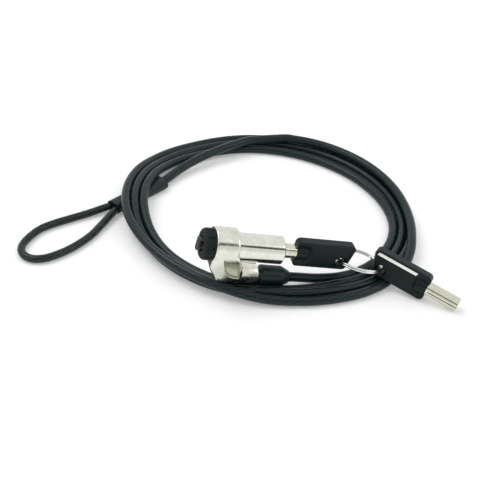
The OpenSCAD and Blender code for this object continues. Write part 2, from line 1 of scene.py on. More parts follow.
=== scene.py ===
# %% [markdown]
# # A laptop cable lock
# The lock has a nickel-plated T-bar head with a tubular key in it, a second key on a split ring,
# and a steel cable with a dark plastic jacket, laid up in a coil and closed with a plain loop.
# The rigid parts come from the CAD frame at their true size. This lesson gives them their
# finishes and adds what the solids only stand for: the turns of the cable, the split ring's wire
# and the soft, cast form of the lug.

# %% Load the frame
import math

import bmesh
import bpy
from mathutils import Matrix, Vector


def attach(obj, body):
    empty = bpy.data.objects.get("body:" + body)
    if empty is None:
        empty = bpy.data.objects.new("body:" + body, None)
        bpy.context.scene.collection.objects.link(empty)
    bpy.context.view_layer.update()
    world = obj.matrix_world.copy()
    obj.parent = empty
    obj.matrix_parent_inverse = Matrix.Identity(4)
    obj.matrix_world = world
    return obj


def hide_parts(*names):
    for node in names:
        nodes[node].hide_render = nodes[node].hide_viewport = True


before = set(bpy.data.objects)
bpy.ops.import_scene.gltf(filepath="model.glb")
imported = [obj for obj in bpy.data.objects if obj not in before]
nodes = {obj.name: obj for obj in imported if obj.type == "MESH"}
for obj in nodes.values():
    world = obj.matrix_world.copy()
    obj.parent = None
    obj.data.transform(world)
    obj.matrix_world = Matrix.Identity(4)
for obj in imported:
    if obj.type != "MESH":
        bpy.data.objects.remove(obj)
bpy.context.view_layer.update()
scene = bpy.context.scene
scene.view_settings.view_transform = "Standard"

# %% [markdown]
# ## Three places to work from
# The lock head leans on the coil, so its parts are easiest to describe along the barrel. These
# matrices turn a place on the barrel or on the second key into a place in the frame, and
# `on_coil` does it for a place in the coil. All are in millimetres; MM turns them into metres.

# %% Where the lock, the second key and the coil are
MM = 0.001
COIL = Vector((-10.08, 70.08, 0))
LOCK = (
    Matrix.Translation(COIL + Vector((-34.9, -61, 26.4)))
    @ Matrix.Rotation(math.radians(10.5), 4, "Y")
)
KEY_2 = (
    Matrix.Translation(COIL + Vector((36.384, -60.699, 13.439)))
    @ Matrix.Rotation(math.radians(-39.7), 4, "Z")
    @ Matrix.Rotation(math.radians(12), 4, "Y")
    @ Matrix.Rotation(math.radians(-8.5), 4, "X")
)
CABLE_D, LOOP_D = 4.8, 4.0
CABLE_DROP = 15.7  # from the barrel's axis down to the cable's
RELIEF_END = 31.5  # where the strain relief ends along the barrel


def on_coil(x, y, z):
    return Vector((x, y, z)) + COIL


relief_exit = LOCK @ Vector((RELIEF_END, 0, -CABLE_DROP))
print("strain relief ends at", tuple(round(c, 2) for c in relief_exit))

# %% [markdown]
# ## The camera
# The picture is square and looks down on the table at 36 degrees from the front left, with the
# camera rolled a little, as a hand-held one is. A 78 mm lens on a 36 mm sensor sees 26 degrees.

# %% Camera
eye = (COIL + Vector((-146.2, -443.1, 319.5))) * MM
aim = (COIL + Vector((-21.3, -21.5, 0))) * MM
camera_data = bpy.data.cameras.new("camera")
camera_data.lens = 77.97
camera_data.sensor_width = 36
camera_data.clip_start = 0.01
camera = bpy.data.objects.new("camera", camera_data)
scene.collection.objects.link(camera)
roll = Matrix.Rotation(math.radians(6), 4, "Z")
look = (aim - eye).to_track_quat("-Z", "Y").to_matrix().to_4x4()
camera.matrix_world = Matrix.Translation(eye) @ look @ roll
scene.camera = camera
print("camera is", round((aim - eye).length, 3), "m from the middle of the picture")

# %% [markdown]
# ## The route of the cable
# One cable runs from the strain relief into the coil, round it almost three and a half times, and
# off the top to the sleeve of the loop. Each turn is described by a few stations: the angle gone
# round, the distance from the coil's middle and the height of the cable's centre. Between the
# stations the values change smoothly, which is easier to read and change than a long list.

# %% Stations round the coil
START, END = -78, 1155
STATIONS = [
    # first turn: the inside of the coil
    (-78, 62.3, 2.5), (-70, 65.2, 2.4), (-60, 67.0, 2.4), (-40, 67.8, 2.4), (-20, 67.6, 2.4),
    (0, 65.6, 2.4), (18, 63.9, 2.4), (45, 62.5, 2.4), (75, 63.0, 2.4), (92, 63.9, 2.4),
    (112, 64.2, 2.5), (135, 66.6, 4.2), (149, 67.4, 8.0), (163, 68.4, 8.6), (177, 68.7, 8.0),
    (192, 69.2, 4.2), (206, 69.6, 2.5), (240, 69.6, 2.4), (262, 68.6, 2.4), (282, 67.3, 2.4),
    # second turn: the middle
    (296, 70.6, 2.4), (310, 72.0, 2.4), (340, 72.2, 2.4), (360, 71.3, 2.4), (385, 70.9, 2.4),
    (435, 70.3, 2.4), (470, 69.6, 2.5), (495, 71.4, 4.2), (509, 72.2, 8.0), (523, 73.0, 8.6),
    (537, 73.4, 8.0), (552, 74.0, 4.2), (566, 74.4, 2.5), (596, 74.4, 2.4), (608, 73.6, 3.6),
    (620, 72.6, 5.0), (632, 72.3, 3.8), (642, 72.1, 2.5),
    # third turn: the outside, and after the sleeve it lies on top of the others for a while
    (656, 75.4, 2.4), (670, 76.4, 2.4), (700, 76.5, 2.4), (740, 76.0, 2.4), (795, 75.4, 2.4),
    (830, 74.4, 2.5), (855, 76.2, 4.4), (869, 77.0, 8.0), (883, 77.4, 8.6), (897, 77.2, 8.2),
    (912, 76.9, 7.2), (930, 76.8, 6.7), (952, 76.9, 6.5), (966, 77.0, 4.8), (980, 76.4, 2.5),
    (1000, 78.0, 2.4), (1010, 80.2, 2.4), (1022, 81.0, 2.4),
    # past the key ring it climbs, lies on top, and comes in across the coil to its end
    (1034, 80.8, 2.7), (1042, 79.2, 5.0), (1050, 76.4, 6.6), (1075, 74.2, 6.7), (1105, 74.0, 6.9),
    (1130, 72.9, 7.2), (1145, 71.2, 7.4), (1155, 69.4, 7.5),
]
print(len(STATIONS), "stations for", round((END - START) / 360, 2), "turns")

# %% [markdown]
# ## Smooth lines
# A Catmull-Rom curve goes through every point that it is given, so the same helper serves for the
# stations of the coil and for the free ends. Points are then laid out at an even spacing.

# %% A smooth line through points
def smooth_line(points, step):
    """Points about step apart on a smooth curve through the given ones."""
    points = [Vector(p) for p in points]
    before = points[0] * 2 - points[1]
    after = points[-1] * 2 - points[-2]
    line = [points[0]]
    spaced = [before] + points + [after]
    for a, b, c, d in zip(spaced, spaced[1:], spaced[2:], spaced[3:]):
        count = max(1, round((c - b).length / step))
        for i in range(1, count + 1):
            t = i / count
            line.append(0.5 * (2 * b + (c - a) * t + (2 * a - 5 * b + 4 * c - d) * t * t
                               + (3 * b - a - 3 * c + d) * t ** 3))
    return line


def even_line(points, step):
    """The same line with its points evenly spaced."""
    total = sum((b - a).length for a, b in zip(points, points[1:]))
    count = round(total / step)
    line, gone, i = [points[0]], 0.0, 0
    for k in range(1, count):
        want = total * k / count
        while gone + (points[i + 1] - points[i]).length < want:
            gone += (points[i + 1] - points[i]).length
            i += 1
        line.append(points[i].lerp(points[i + 1], (want - gone) / (points[i + 1] - points[i]).length))
    return line + [points[-1]]


# %% [markdown]
# ## Letting the turns find their places
# Stations alone would leave neighbours a little inside each other. So at each three degrees the
# cable's cross-section is pushed away from the sections of the other turns at that angle until
# they only touch, and smoothed along its length again. It is a small simulation of stiff strands
# that lie side by side and on each other on the table.

# %% The turns of the coil
STEP = 3  # degrees from one cross-section to the next
TURN = 360 // STEP
ROUNDS = 160
STIFFNESS, PULL = 0.35, 0.03  # how much a section is smoothed, and drawn to its station


def station_value(angle):
    """Distance from the middle and height at an angle, eased between the stations round it."""
    for (a0, r0, z0), (a1, r1, z1) in zip(STATIONS, STATIONS[1:]):
        if a0 <= angle <= a1:
            t = (angle - a0) / (a1 - a0)
            ease = t * t * (3 - 2 * t)
            return [r0 + (r1 - r0) * ease, z0 + (z1 - z0) * ease]


wanted = [station_value(START + STEP * i) for i in range((END - START) // STEP + 1)]
strand = [list(p) for p in wanted]
for _ in range(ROUNDS):
    for i in range(1, len(strand) - 1):
        for k in (0, 1):
            middle = (strand[i - 1][k] + strand[i + 1][k]) / 2
            here = strand[i][k]
            strand[i][k] += STIFFNESS * (middle - here) + PULL * (wanted[i][k] - here)
    for i in range(len(strand)):
        for j in range(i + TURN, len(strand), TURN):
            across, up = strand[j][0] - strand[i][0], strand[j][1] - strand[i][1]
            gap = math.hypot(across, up)
            if gap < CABLE_D:
                push = (CABLE_D - gap) / gap / 2
                for k, d in ((0, across), (1, up)):
                    if 0 < i:
                        strand[i][k] -= d * push
                    if j < len(strand) - 1:
                        strand[j][k] += d * push
        strand[i][1] = max(strand[i][1], CABLE_D / 2)
coil_line = []
for i, (r, z) in enumerate(strand):
    angle = math.radians(START + STEP * i)
    coil_line.append(on_coil(r * math.cos(angle), r * math.sin(angle), z))
closest = min(
    math.dist(strand[i], strand[j])
    for i in range(len(strand)) for j in range(i + TURN, len(strand), TURN)
)
print("coil of", len(coil_line), "points, turns no closer than", round(closest, 2), "mm")

# %% [markdown]
# ## The cable and the loop
# The cable leaves the strain relief, and its other end goes into the sleeve. The loop is the same
# rope with a thinner jacket: both its legs go into the sleeve, side by side. Each is swept
# as a tube. The tube's UV map holds the length along the cable in centimetres and how far round
# it a corner is, so that the jacket's material can follow the lay of the rope.

# %% Sweep a tube along a line
def sweep(name, line, radius, sides=20):
    """A closed tube round a line of points in millimetres, with UVs that follow it."""
    mesh = bmesh.new()
    uv = mesh.loops.layers.uv.new("along")
    side = Vector((0, 0, 1)).cross(line[1] - line[0]).normalized()
    turns = [2 * math.pi * k / sides for k in range(sides)]
    rings, lengths, gone = [], [], 0.0
    for i, point in enumerate(line):
        ahead = (line[min(i + 1, len(line) - 1)] - line[max(i - 1, 0)]).normalized()
        side = (side - side.dot(ahead) * ahead).normalized()
        up = ahead.cross(side)
        rings.append([
            mesh.verts.new((point + radius * (math.cos(t) * side + math.sin(t) * up)) * MM)
            for t in turns
        ])
        gone += (point - line[max(i - 1, 0)]).length
        lengths.append(gone / 10)
    for i, (ring, following) in enumerate(zip(rings, rings[1:])):
        for k in range(sides):
            n = (k + 1) % sides
            face = mesh.faces.new((ring[k], ring[n], following[n], following[k]))
            face.smooth = True
            near, far = lengths[i], lengths[i + 1]
            corners = ((near, k), (near, k + 1), (far, k + 1), (far, k))
            for corner, (length, turn) in zip(face.loops, corners):
                corner[uv].uv = (length, turn / sides)
    mesh.faces.new(list(reversed(rings[0])))
    mesh.faces.new(rings[-1])
    data = bpy.data.meshes.new(name)
    mesh.to_mesh(data)
    mesh.free()
    obj = bpy.data.objects.new(name, data)
    scene.collection.objects.link(obj)
    return obj


# %% The cable
SLEEVE_HALF = 18.3  # from the middle of the loop's sleeve to where the cable meets it
sleeve_mid = Vector((-68.5, 21.5, 3))
sleeve_turn = math.radians(35.7)
sleeve_along = Vector((math.cos(sleeve_turn), math.sin(sleeve_turn), 0))
sleeve_across = Vector((-sleeve_along.y, sleeve_along.x, 0))
lead = [relief_exit] + [on_coil(*p) for p in ((-1.5, -61, 4.5), (3.5, -61, 3.6), (8.5, -61, 2.9))]
tail = [on_coil(*p) for p in (
    (4.6, 64.9, 7.5), (-4, 61.9, 7.5), (-16, 57.3, 6.8),
    (-29, 51.0, 5.6), (-41, 43.2, 4.2), (-49, 36.2, 3.4),
)]
tail.append(on_coil(*(sleeve_mid + sleeve_along * SLEEVE_HALF)))
cable_line = even_line(smooth_line(lead + coil_line[1:-2] + tail, 1.2), 2.4)
cable = sweep("cable", cable_line, CABLE_D / 2)

# %% The loop
LEG_GAP = 0.1  # each leg's distance from the middle between them
mouth = sleeve_mid - sleeve_along * SLEEVE_HALF
leg = sleeve_across * (LOOP_D / 2 + LEG_GAP)
bend = [
    (-90, 10.4, 2.7), (-97.5, 7.6, 2.2), (-107.5, 3.8, 2.1), (-115.5, 0.6, 2.1),
    (-122.5, -3.3, 2.1), (-128, -9, 2.1), (-132, -15, 2.1), (-133.4, -20.6, 2.1),
    (-131.8, -25.4, 2.1), (-128, -28.2, 2.1), (-122.6, -28.4, 2.1), (-117, -26.4, 2.1),
    (-110.5, -22.8, 2.1), (-104, -17.8, 2.1), (-97.5, -11.5, 2.1), (-91.5, -3.6, 2.3),
]
loop_points = [on_coil(*p) for p in [mouth + leg, *bend, mouth - leg]]
loop_line = even_line(smooth_line(loop_points, 1), 2)
loop = sweep("loop", loop_line, LOOP_D / 2)

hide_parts("cable_lead", "cable_coil", "cable_tail")
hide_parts("cable_loop")
for piece, slot_name in ((cable, "cable_jacket"), (loop, "loop_jacket")):
    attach(piece, "lock_body")

# %% [markdown]
# ## The split ring
# A split ring is one steel wire wound twice, with its ends lying against each other. Both turns
# lie side by side, and the wire steps from one to the other beside its ends. The ring's middle
# and the directions across it follow from the two holes that it passes through.

# %% The ring's wire
KEY_1_END = 61.5  # along the barrel
HOLE_IN, HOLE_DOWN = 6.6, 2.8  # the hole in a key's head, from its end and its middle
RING_R, WIRE_D, WIRE_GAP = 12.0, 1.0, 0.02
WIRE_TURNS, WIRE_START, WIRE_POINTS = 1.99, math.radians(40), 240
CROSS_AT, CROSS_OVER = math.pi * 1.85, 0.3 * math.pi  # where the wire changes sides


def clamp(value):
    return max(0.0, min(1.0, value))


hole_1 = LOCK @ Vector((KEY_1_END - HOLE_IN, 0, -HOLE_DOWN))
hole_2 = KEY_2 @ Vector((HOLE_IN, 0, -HOLE_DOWN))
along = (hole_2 - hole_1).normalized()
flat = (Vector((0, 1, 0)) - along.y * along).normalized()
lean = math.radians(10)
across = math.cos(lean) * flat - math.sin(lean) * along.cross(flat)
upright = along.cross(across)
back = math.sqrt(RING_R ** 2 - (hole_2 - hole_1).length_squared / 4)
ring_mid = (hole_1 + hole_2) / 2 + back * across
wire = []
for i in range(WIRE_POINTS + 1):
    gone = WIRE_TURNS * 2 * math.pi * i / WIRE_POINTS
    turn = WIRE_START + gone
    step = clamp((gone - CROSS_AT) / CROSS_OVER)
    offset = (step * step * (3 - 2 * step) - 0.5) * (WIRE_D + WIRE_GAP)
    round_ring = RING_R * (math.cos(turn) * along + math.sin(turn) * across)
    wire.append(ring_mid + round_ring + offset * upright)
ring = sweep("split_ring", wire, WIRE_D / 2, sides=12)
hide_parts("key_ring")
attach(ring, "ring")
print("ring through holes", round((hole_2 - hole_1).length, 2), "mm apart")

# %% [markdown]
# ## The head's casting
# The collar and its lug are one zinc casting. Its walls run into each other in soft curves, and a
# deep pocket on each side of the lug saves metal. The CAD solid has the same form, smaller and
# with sharp edges. Here a fuller lug is joined to a copy of it, the bores and pockets are cut out,
# and a voxel remesh with a little smoothing gives every edge the small fillet of a casting.

# %% Closed solids in the lock's own place
def lock_solid(name, rings):
    """A closed solid through rings of points in millimetres on the lock."""
    mesh = bmesh.new()
    rows = [[mesh.verts.new((LOCK @ Vector(p)) * MM) for p in ring] for ring in rings]
    for row, following in zip(rows, rows[1:]):
        for k in range(len(row)):
            n = (k + 1) % len(row)
            mesh.faces.new((row[k], row[n], following[n], following[k]))
    mesh.faces.new(list(reversed(rows[0])))
    mesh.faces.new(rows[-1])
    bmesh.ops.recalc_face_normals(mesh, faces=mesh.faces)
    data = bpy.data.meshes.new(name)
    mesh.to_mesh(data)
    mesh.free()
    obj = bpy.data.objects.new(name, data)
    scene.collection.objects.link(obj)
    return obj


def barrel_bar(name, x0, x1, radius, z=0.0, sides=64):
    """A round bar along the barrel's direction."""
    turns = [2 * math.pi * k / sides for k in range(sides)]
    return lock_solid(name, [[(x, radius * math.cos(t), z + radius * math.sin(t)) for t in turns]
                             for x in (x0, x1)])


def shaped(obj, *steps):
    """Applies modifiers, each given as its kind and its settings, and smooths the shading."""
    for kind, settings in steps:
        modifier = obj.modifiers.new(kind.lower(), kind)
        for label, value in settings.items():
            setattr(modifier, label, value)
    bpy.context.view_layer.update()
    result = obj.evaluated_get(bpy.context.evaluated_depsgraph_get())
    finished = bpy.data.meshes.new_from_object(result)
    obj.modifiers.clear()
    obj.data = finished
    finished.shade_smooth()
    return obj


def with_tool(tool, operation):
    """The step for `shaped` that joins or cuts with another object."""
    return ("BOOLEAN", {"object": tool, "operation": operation, "solver": "EXACT"})


# %% The lug
LUG_LEVELS = [
    # height, front, back, half the width
    (-0.4, -11.75, 0.3, 8.80), (-3.2, -11.75, 1.9, 8.75), (-6, -11.75, 3.2, 8.40),
    (-8, -11.75, 4.0, 7.95), (-9.8, -11.5, 4.8, 7.40), (-11, -11.0, 5.1, 7.00),
    (-12.5, -10.2, 5.3, 6.50), (-14, -9.3, 5.5, 6.00), (-16, -8.0, 5.5, 5.45),
    (-17.5, -6.9, 5.5, 4.95), (-18.8, -5.8, 5.5, 4.35), (-19.8, -4.6, 5.4, 3.50),
    (-20.5, -3.3, 5.2, 2.50), (-20.9, -2.0, 4.9, 1.40),
]

lug_rings = []
for z, x_front, x_back, w in LUG_LEVELS:
    corners = [(x_front, -w), (x_back, -w), (x_back, w), (x_front, w)]
    front_round, back_round = min(1.4 - z * 0.11, 0.85 * w), min(0.7, 0.5 * w)
    outline = []
    for k, (x, y) in enumerate(corners):
        r = front_round if k in (0, 3) else back_round
        mid_x = x + r if x == x_front else x - r
        mid_y = y + r if y < 0 else y - r
        for q in range(7):
            a = math.radians((180, 270, 0, 90)[k] + 15 * q)
            outline.append((mid_x + r * math.cos(a), mid_y + r * math.sin(a), z))
    lug_rings.append(outline)
lug = lock_solid("lug", lug_rings)
print("lug has", len(lug_rings), "levels down to", LUG_LEVELS[-1][0], "mm under the axis")

# %% The pockets
POCKET_LEVELS = [
    # height, front wall, back wall, how far out the floor of the pocket is
    (0.8, -8.2, -0.4, 9.05), (-2, -7.4, 1.0, 8.80), (-4, -6.6, 1.7, 8.00), (-6, -5.8, 2.3, 6.70),
    (-7, -5.4, 2.55, 5.80), (-8, -5.0, 2.8, 4.95), (-9, -4.55, 3.05, 4.30), (-10, -4.1, 3.3, 3.85),
    (-11, -3.5, 3.6, 3.60), (-12, -2.8, 3.85, 3.50), (-13, -1.9, 4.1, 3.50),
    (-13.8, -0.8, 4.25, 3.55), (-14.4, 0.6, 4.3, 3.70), (-14.8, 2.3, 4.1, 4.00),
]
OUTSIDE = 12  # well outside the lug
QUARTER = [math.radians(22.5 * k) for k in range(5)]
pockets = []
for side in (-1, 1):
    slices = []
    for z, x0, x1, floor in POCKET_LEVELS:
        r = min(0.9, (x1 - x0) / 3)
        front_corner = [(x0 + r - r * math.cos(a), side * (floor + r - r * math.sin(a)), z)
                        for a in QUARTER]
        back_corner = [(x1 - r + r * math.sin(a), side * (floor + r - r * math.cos(a)), z)
                       for a in QUARTER]
        slices.append([(x0, side * OUTSIDE, z), *front_corner, *back_corner,
                       (x1, side * OUTSIDE, z)])
    pockets.append(lock_solid("pocket", slices))
print("pockets are", -POCKET_LEVELS[-1][0], "mm deep under the axis")

# %% Join, cut and soften
casting = bpy.data.objects.new("casting", nodes["head_casting"].data.copy())
scene.collection.objects.link(casting)
barrel_bore = barrel_bar("barrel bore", -13, 13, 6.92, sides=96)
stud_bore = barrel_bar("stud bore", -1.6, 7, 2.25, -CABLE_DROP)
clip_bore = barrel_bar("clip bore", 1.8, 2.8, 2.8, -CABLE_DROP)
cutters = [barrel_bore, *pockets, stud_bore, clip_bore]
shaped(casting, with_tool(lug, "UNION"), *[with_tool(tool, "DIFFERENCE") for tool in cutters],
       ("REMESH", {"mode": "VOXEL", "voxel_size": 0.18 * MM}),
       ("SMOOTH", {"factor": 0.5, "iterations": 7}), ("DECIMATE", {"ratio": 0.35}))
for tool in [lug, *cutters]:
    bpy.data.objects.remove(tool)
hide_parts("head_casting")
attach(casting, "lock_body")
print("casting has", len(casting.data.polygons), "faces")

# %% [markdown]
# Later the pockets get a rougher skin than the polished outside, and painted shade that darkens
# their colour deeper in. How deep in a pocket a point lies is stored on the casting, so that its
# material can read it.

# %% How deep in a pocket
RIM, WEB_SIDE = 0.3, 3
# The last two give the height under the axis where a pocket's rough skin and painted shade start, and
# how far down they grow to full.
FADE_IN, SKIN_AND_SHADE_TOP, SKIN_AND_SHADE_FADE = 1.2, -4.0, 5.0


def pocket_depth(x, y, z):
    """From 0 outside a pocket to 1 well inside it, for a place on the lock."""
    for (z0, x0, x1, _), (z1, _, _, _) in zip(POCKET_LEVELS, POCKET_LEVELS[1:]):
        if z1 <= z < z0 and x0 - RIM < x < x1 + RIM and abs(y) > WEB_SIDE:
            half = min((w for h, _, _, w in LUG_LEVELS if h >= z), default=LUG_LEVELS[0][3])
            return clamp((half - RIM - abs(y)) / FADE_IN) * clamp((SKIN_AND_SHADE_TOP - z) / SKIN_AND_SHADE_FADE)
    return 0.0


to_lock = LOCK.inverted()
in_pocket = casting.data.attributes.new("in pocket", "FLOAT", "POINT")
for vertex in casting.data.vertices:
    in_pocket.data[vertex.index].value = pocket_depth(*(to_lock @ (vertex.co / MM)))
print(sum(1 for item in in_pocket.data if item.value > 0), "points lie in a pocket")

# %% [markdown]
# ## The ferrule
# The eight flats of the ferrule are milled, and their edges are broken by the plating. A bevel on
# a copy of the CAD solid gives each edge a narrow round, which is what draws the thin dark and
# bright lines between the flats.

# %% The ferrule's edges
ferrule = bpy.data.objects.new("ferrule", nodes["cable_ferrule"].data.copy())
scene.collection.objects.link(ferrule)
shaped(ferrule, ("WELD", {"merge_threshold": 0.002 * MM}),
       ("BEVEL", {"width": 1.0 * MM, "segments": 4, "limit_method": "ANGLE",
                  "angle_limit": math.radians(30), "harden_normals": False}))
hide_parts("cable_ferrule")
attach(ferrule, "swivel")
print("ferrule has", len(ferrule.data.polygons), "faces")

# %% [markdown]
# ## Tools for finishes
# A material here is a Principled shader with a few nodes in front of it. Effects that several
# finishes share are node groups: each is built once and placed with its own values. The groups
# only put out values and normals; the shader stays in the material, where gloss is decided.

# %% Node helpers
def place(tree, kind, inputs=None, **settings):
    """Adds a node, sets what is given, and links any input that is a socket."""
    node = tree.nodes.new(kind)
    for name, value in settings.items():
        setattr(node, name, value)
    for name, value in (inputs or {}).items():
        if isinstance(value, bpy.types.NodeSocket):
            tree.links.new(value, node.inputs[name])
        else:
            node.inputs[name].default_value = value
    return node


def new_group(name, inputs, outputs):
    """An empty shader group, with its inputs' sockets to read and its outputs' to link to."""
    tree = bpy.data.node_groups.new(name, "ShaderNodeTree")
    for label, kind, value in inputs:
        made = tree.interface.new_socket(label, in_out="INPUT", socket_type=kind)
        if value is not None:
            made.default_value = value
    for label, kind in outputs:
        tree.interface.new_socket(label, in_out="OUTPUT", socket_type=kind)
    return tree, tree.nodes.new("NodeGroupInput").outputs, tree.nodes.new("NodeGroupOutput").inputs


def use_group(tree, group, **values):
    """Places a group. A space in an input's name is written as an underscore."""
    node = tree.nodes.new("ShaderNodeGroup")
    node.node_tree = group
    for label, value in values.items():
        label = label.replace("_", " ")
        if isinstance(value, bpy.types.NodeSocket):
            tree.links.new(value, node.inputs[label])
        else:
            node.inputs[label].default_value = value
    return node


# %% [markdown]
# ### Grain
# Castings, rubber and moulded plastic all have a fine random relief. Only its size and depth
# differ, so one group serves: noise at a size given in millimetres, put out as a mask and as a
# bumped normal. Object coordinates are metres here, hence the thousand.

# %% Grain group
grain, g_in, g_out = new_group(
    "grain",
    [("Position", "NodeSocketVector", None), ("Size mm", "NodeSocketFloat", 0.5),
     ("Depth mm", "NodeSocketFloat", 0.01), ("Roughness", "NodeSocketFloat", 0.6)],
    [("Mask", "NodeSocketFloat"), ("Normal", "NodeSocketVector")],
)
per_metre = place(grain, "ShaderNodeMath", {0: 1000.0, 1: g_in["Size mm"]}, operation="DIVIDE")
speckle = place(grain, "ShaderNodeTexNoise",
                {"Vector": g_in["Position"], "Scale": per_metre.outputs[0], "Detail": 3.0,
                 "Roughness": g_in["Roughness"]})
depth = place(grain, "ShaderNodeMath", {0: g_in["Depth mm"], 1: MM}, operation="MULTIPLY")
relief = place(grain, "ShaderNodeBump",
               {"Height": speckle.outputs["Fac"], "Distance": depth.outputs[0], "Strength": 1.0})
grain.links.new(speckle.outputs["Fac"], g_out["Mask"])
grain.links.new(relief.outputs[0], g_out["Normal"])
print("grain group has", len(grain.nodes), "nodes")

# %% [markdown]
# ### Handling
# Nothing that is handled keeps one even gloss. Two sizes of soft noise, one of fingermarks and
# one of rubbed patches, are mixed and squeezed into a range of roughness.

# %% Handling group
handling, h_in, h_out = new_group(
    "handling",
    [("Position", "NodeSocketVector", None), ("Patch mm", "NodeSocketFloat", 8.0),
     ("Low", "NodeSocketFloat", 0.2), ("High", "NodeSocketFloat", 0.4)],
    [("Roughness", "NodeSocketFloat"), ("Mask", "NodeSocketFloat")],
)
patch_scale = place(handling, "ShaderNodeMath", {0: 1000.0, 1: h_in["Patch mm"]}, operation="DIVIDE")
smudge_scale = place(handling, "ShaderNodeMath", {0: patch_scale.outputs[0], 1: 4.0},
                     operation="MULTIPLY")
patches = place(handling, "ShaderNodeTexNoise",
                {"Vector": h_in["Position"], "Scale": patch_scale.outputs[0], "Detail": 2.0})
smudges = place(handling, "ShaderNodeTexNoise",
                {"Vector": h_in["Position"], "Scale": smudge_scale.outputs[0], "Detail": 4.0,
                 "Distortion": 0.8})
both = place(handling, "ShaderNodeMix",
             {0: 0.4, 2: patches.outputs["Fac"], 3: smudges.outputs["Fac"]})
spread = place(handling, "ShaderNodeMapRange",
               {"Value": both.outputs[0], "From Min": 0.35, "From Max": 0.65,
                "To Min": h_in["Low"], "To Max": h_in["High"]})
handling.links.new(spread.outputs[0], h_out["Roughness"])
handling.links.new(both.outputs[0], h_out["Mask"])
print("handling group has", len(handling.nodes), "nodes")

# %% [markdown]
# ### Drawn lines
# A drawn tube or a turned bar keeps fine lines along or round it. Noise that is stretched one way
# gives them: before it is read, the position is multiplied by little along the lines and by much
# across them.

# %% Drawn lines group
drawn, d_in, d_out = new_group(
    "drawn lines",
    [("Position", "NodeSocketVector", None), ("Stretch", "NodeSocketVector", (100, 4000, 4000)),
     ("Depth mm", "NodeSocketFloat", 0.002)],
    [("Mask", "NodeSocketFloat"), ("Normal", "NodeSocketVector")],
)
long_way = place(drawn, "ShaderNodeVectorMath", {0: d_in["Position"], 1: d_in["Stretch"]},
                 operation="MULTIPLY")
lines = place(drawn, "ShaderNodeTexNoise",
              {"Vector": long_way.outputs[0], "Scale": 1.0, "Detail": 4.0})
line_depth = place(drawn, "ShaderNodeMath", {0: d_in["Depth mm"], 1: MM}, operation="MULTIPLY")
line_relief = place(drawn, "ShaderNodeBump",
                    {"Height": lines.outputs["Fac"], "Distance": line_depth.outputs[0],
                     "Strength": 1.0})
drawn.links.new(lines.outputs["Fac"], d_out["Mask"])
drawn.links.new(line_relief.outputs[0], d_out["Normal"])
print("drawn lines group has", len(drawn.nodes), "nodes")

# %% [markdown]
# ### The lay of the rope
# Under the jacket is a steel rope of seven strands, twisted once in about four centimetres. The
# jacket shows them as faint slanting ridges. The tube's UV map makes them simple: seven waves for
# each turn round, moved on by the length along.

# %% Rope lay group
rope_lay, r_in, r_out = new_group(
    "rope lay",
    [("Along", "NodeSocketVector", None), ("Strands", "NodeSocketFloat", 7.0),
     ("Pitch cm", "NodeSocketFloat", 4.0), ("Depth mm", "NodeSocketFloat", 0.05)],
    [("Mask", "NodeSocketFloat"), ("Normal", "NodeSocketVector")],
)
parts = place(rope_lay, "ShaderNodeSeparateXYZ", {0: r_in["Along"]})
twist = place(rope_lay, "ShaderNodeMath", {0: parts.outputs[0], 1: r_in["Pitch cm"]},
              operation="DIVIDE")
turned = place(rope_lay, "ShaderNodeMath", {0: parts.outputs[1], 1: twist.outputs[0]},
               operation="ADD")
counted = place(rope_lay, "ShaderNodeMath", {0: turned.outputs[0], 1: r_in["Strands"]},
                operation="MULTIPLY")
angle_in = place(rope_lay, "ShaderNodeMath", {0: counted.outputs[0], 1: 2 * math.pi},
                 operation="MULTIPLY")
wave = place(rope_lay, "ShaderNodeMath", {0: angle_in.outputs[0]}, operation="SINE")
ridge = place(rope_lay, "ShaderNodeMapRange",
              {"Value": wave.outputs[0], "From Min": -1.0, "From Max": 1.0,
               "To Min": 0.0, "To Max": 1.0})
lay_depth = place(rope_lay, "ShaderNodeMath", {0: r_in["Depth mm"], 1: MM},
                  operation="MULTIPLY")
lay_relief = place(rope_lay, "ShaderNodeBump",
                   {"Height": ridge.outputs[0], "Distance": lay_depth.outputs[0],
                    "Strength": 1.0})
rope_lay.links.new(ridge.outputs[0], r_out["Mask"])
rope_lay.links.new(lay_relief.outputs[0], r_out["Normal"])
print("rope lay group has", len(rope_lay.nodes), "nodes")

# %% [markdown]
# ## The finishes
# `new_finish` starts a material: a Principled shader with its constant values set on its own
# sockets, and the object's position in metres, which is the same on every part.

# %% Start a finish
def new_finish(name, **constants):
    """A material with its node tree, its Principled shader and its coordinates."""
    material = bpy.data.materials.new(name)
    material.use_nodes = True
    tree = material.node_tree
    shader = tree.nodes["Principled BSDF"]
    for label, value in constants.items():
        shader.inputs[label.replace("_", " ")].default_value = value
    where = tree.nodes.new("ShaderNodeTexCoord")
    return material, tree, shader, where


def two_tone(tree, mask, dark, light, low=0.35, high=0.65):
    """A colour that changes between two along a mask."""
    ramp = tree.nodes.new("ShaderNodeValToRGB")
    for stop, position, colour in zip(ramp.color_ramp.elements, (low, high), (dark, light)):
        stop.position, stop.color = position, (*colour, 1)
    tree.links.new(mask, ramp.inputs[0])
    return ramp.outputs[0]


# %% [markdown]
# ### Nickel
# The collar and its lug are a zinc casting with satin nickel over it, so they keep a soft
# orange-peel relief. The barrel and the key tubes are turned and the ferrule is milled before
# they are plated, so they reflect more sharply. Nickel is warmer than chrome.

# %% Cast nickel and turned nickel
def connect(tree, shader, colour, rubbed, relief_from):
    """Links a colour, the rubbed gloss and a relief to a shader."""
    tree.links.new(colour, shader.inputs["Base Color"])
    tree.links.new(rubbed.outputs["Roughness"], shader.inputs["Roughness"])
    tree.links.new(relief_from.outputs["Normal"], shader.inputs["Normal"])


